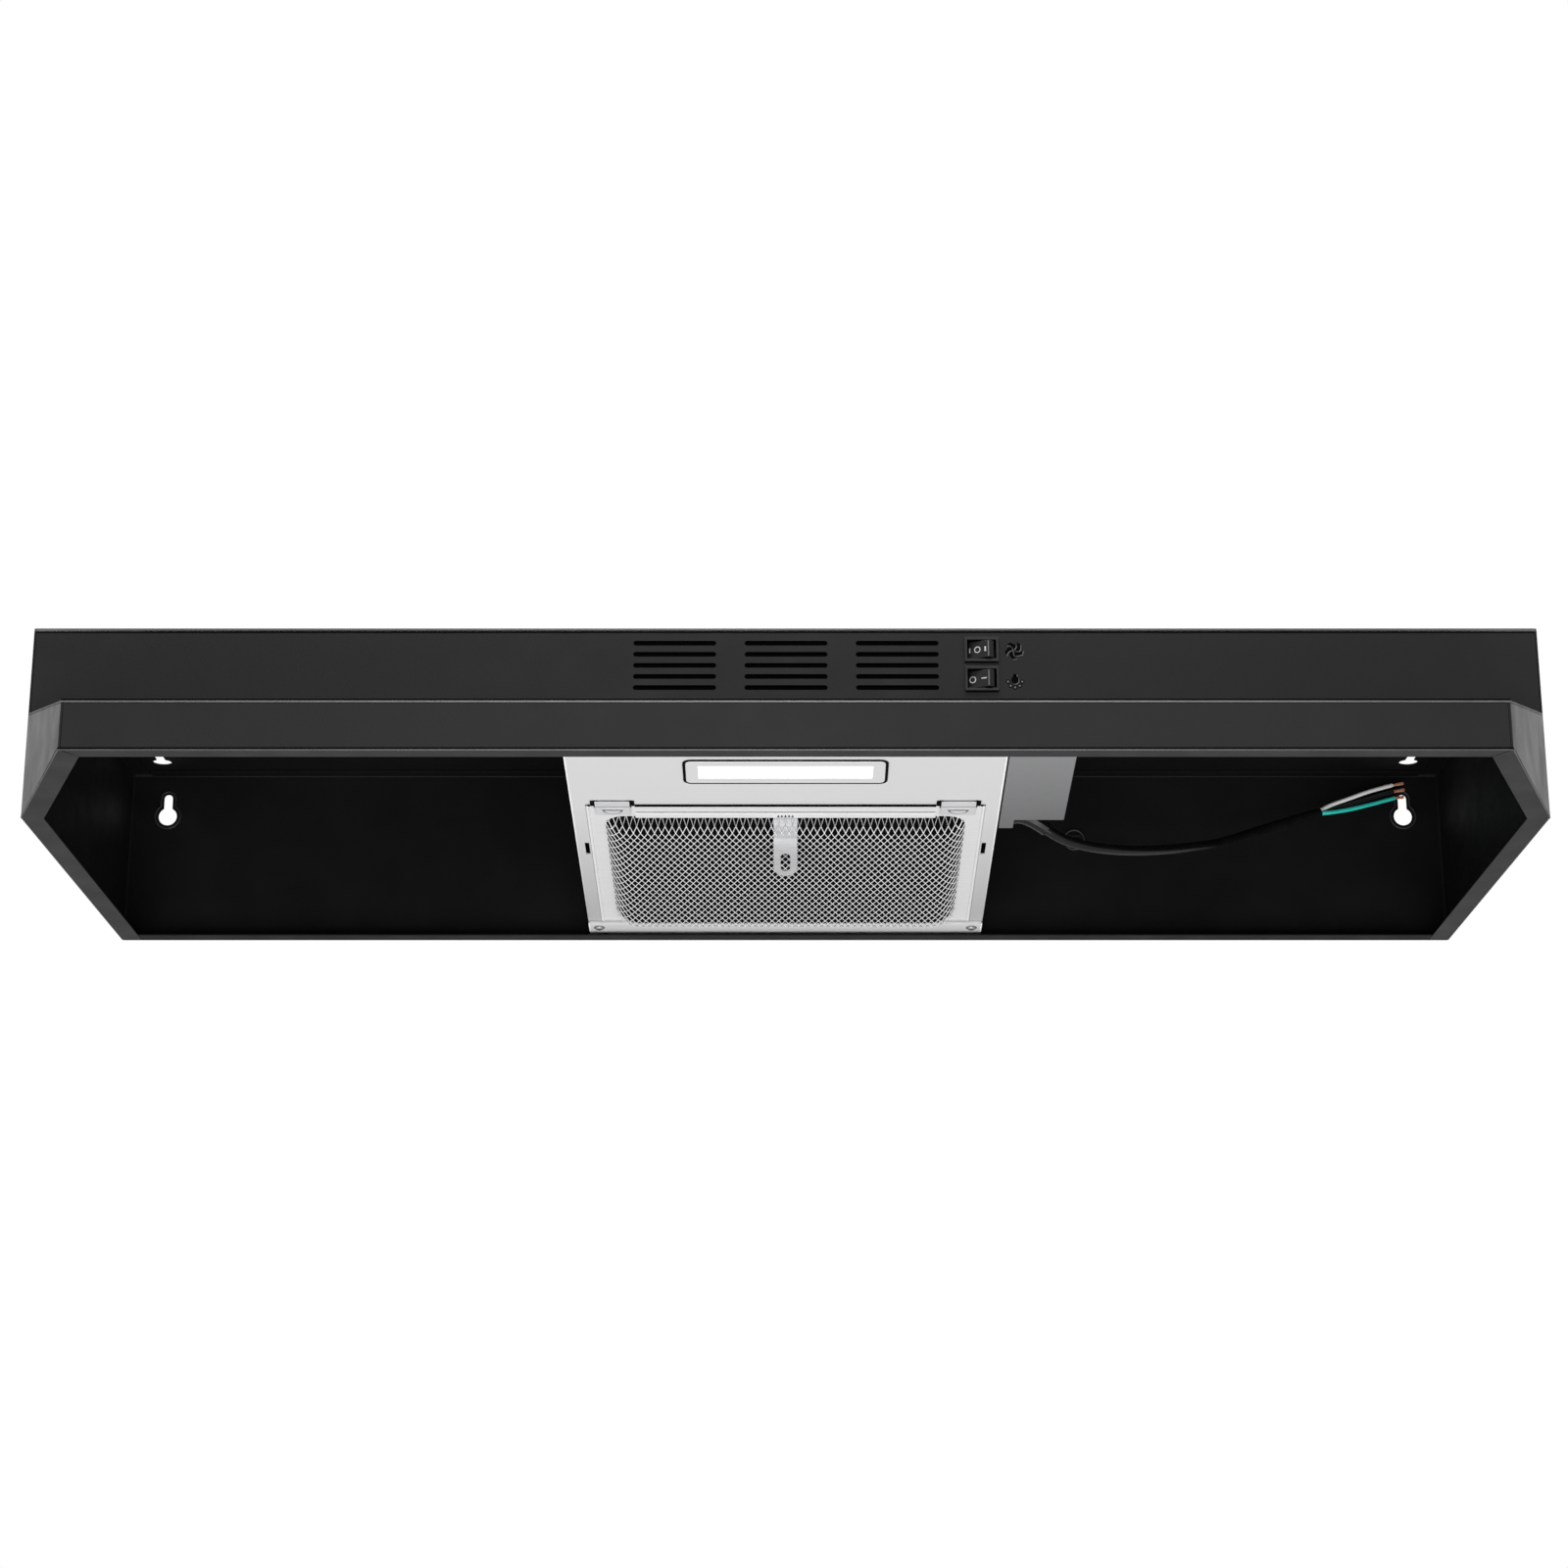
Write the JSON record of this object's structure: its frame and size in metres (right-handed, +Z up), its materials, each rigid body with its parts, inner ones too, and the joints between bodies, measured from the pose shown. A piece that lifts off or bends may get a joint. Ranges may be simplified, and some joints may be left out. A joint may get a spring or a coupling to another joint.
{
  "type": "under cabinet range hood",
  "caption": "Slim under cabinet range hood with a sloping visor, front louvers and rockers, lamp, hinged mesh grease filter, blower and wiring lead.",
  "frame": {"origin": "on the top face, which is held against the underside of the cabinet, midway across the width and midway between the front lip and the back", "axes": "+X to the right seen from the front, +Y towards the wall, +Z up"},
  "size_m": [0.9, 0.43, 0.118],
  "materials": {
    "paint": "satin black powder coat, fine orange peel",
    "silver_panel": "satin silver-grey paint on steel",
    "lamp_bezel": "satin silver-grey moulding",
    "latch": "satin silver-grey moulding",
    "lamp_lens": "frosted diffuser",
    "board": "white solder mask",
    "white_plastic": "moulded",
    "black_plastic": "fine moulded texture",
    "aluminium_frame": "rolled, satin",
    "aluminium_mesh": "expanded sheet, bright",
    "galvanised": "zinc coated, faint spangle",
    "screw": "zinc plated",
    "cord_black": "soft vinyl sheath",
    "wire_white": "vinyl insulation",
    "wire_green": "vinyl insulation",
    "copper": "stranded bare copper"
  },
  "bodies": {
    "hood": {"front_panel": "paint", "side_panel_left": "paint", "side_panel_right": "paint", "top_panel": "paint", "back_panel": "paint", "hole_plug": "black_plastic", "light_panel": "silver_panel", "filter_ledge": "silver_panel", "ledge_screw_left": "screw", "ledge_screw_right": "screw", "lamp_bezel": "lamp_bezel", "lamp_lens": "lamp_lens", "led_board": "board", "led_driver": "black_plastic", "fan_switch": "black_plastic", "light_switch": "black_plastic", "blower_housing": "galvanised", "inlet_ring": "galvanised", "motor": "galvanised", "motor_bracket": "galvanised", "bracket_nut_1": "screw", "bracket_nut_2": "screw", "bracket_nut_3": "screw", "wiring_box": "galvanised", "wiring_cover": "galvanised", "cover_screw": "screw", "capacitor": "black_plastic", "terminal_block": "white_plastic", "strain_relief": "black_plastic", "cord_sheath": "cord_black", "wire_white": "wire_white", "wire_black": "cord_black", "wire_green": "wire_green", "wire_tip_white": "copper", "wire_tip_black": "copper", "wire_tip_green": "copper"},
    "filter": {"filter_frame": "aluminium_frame", "filter_mesh": "aluminium_mesh", "filter_core": "aluminium_mesh", "pull_tab": "aluminium_frame"},
    "latch_left": {"latch_left": "latch"},
    "latch_right": {"latch_right": "latch"},
    "fan_rocker": {"fan_rocker": "black_plastic"},
    "light_rocker": {"light_rocker": "black_plastic"},
    "rotor": {"impeller": "galvanised", "motor_shaft": "screw"}
  },
  "joints": [
    {"name": "filter_swing", "type": "hinge", "parent": "hood", "child": "filter", "pos_m": [0, 0.18732, -0.11046], "axis": [1, 0, 0], "range_deg": [0, 55]},
    {"name": "latch_left_slide", "type": "slide", "parent": "filter", "child": "latch_left", "axis": [0, 0.9919, -0.127], "range_m": [0, 0.005], "stiffness_N_per_m": 200},
    {"name": "latch_right_slide", "type": "slide", "parent": "filter", "child": "latch_right", "axis": [0, 0.9919, -0.127], "range_m": [0, 0.005], "stiffness_N_per_m": 200},
    {"name": "fan_rocker_tilt", "type": "hinge", "parent": "hood", "child": "fan_rocker", "pos_m": [0.1172, -0.0808, -0.0136], "axis": [0, 0, 1], "range_deg": [0, 20]},
    {"name": "light_rocker_tilt", "type": "hinge", "parent": "hood", "child": "light_rocker", "pos_m": [0.1172, -0.0808, -0.032], "axis": [0, 0, 1], "range_deg": [0, 20]},
    {"name": "impeller_spin", "type": "hinge", "parent": "hood", "child": "rotor", "pos_m": [0, 0.092, -0.03], "axis": [0, 0, 1], "continuous": true}
  ]
}
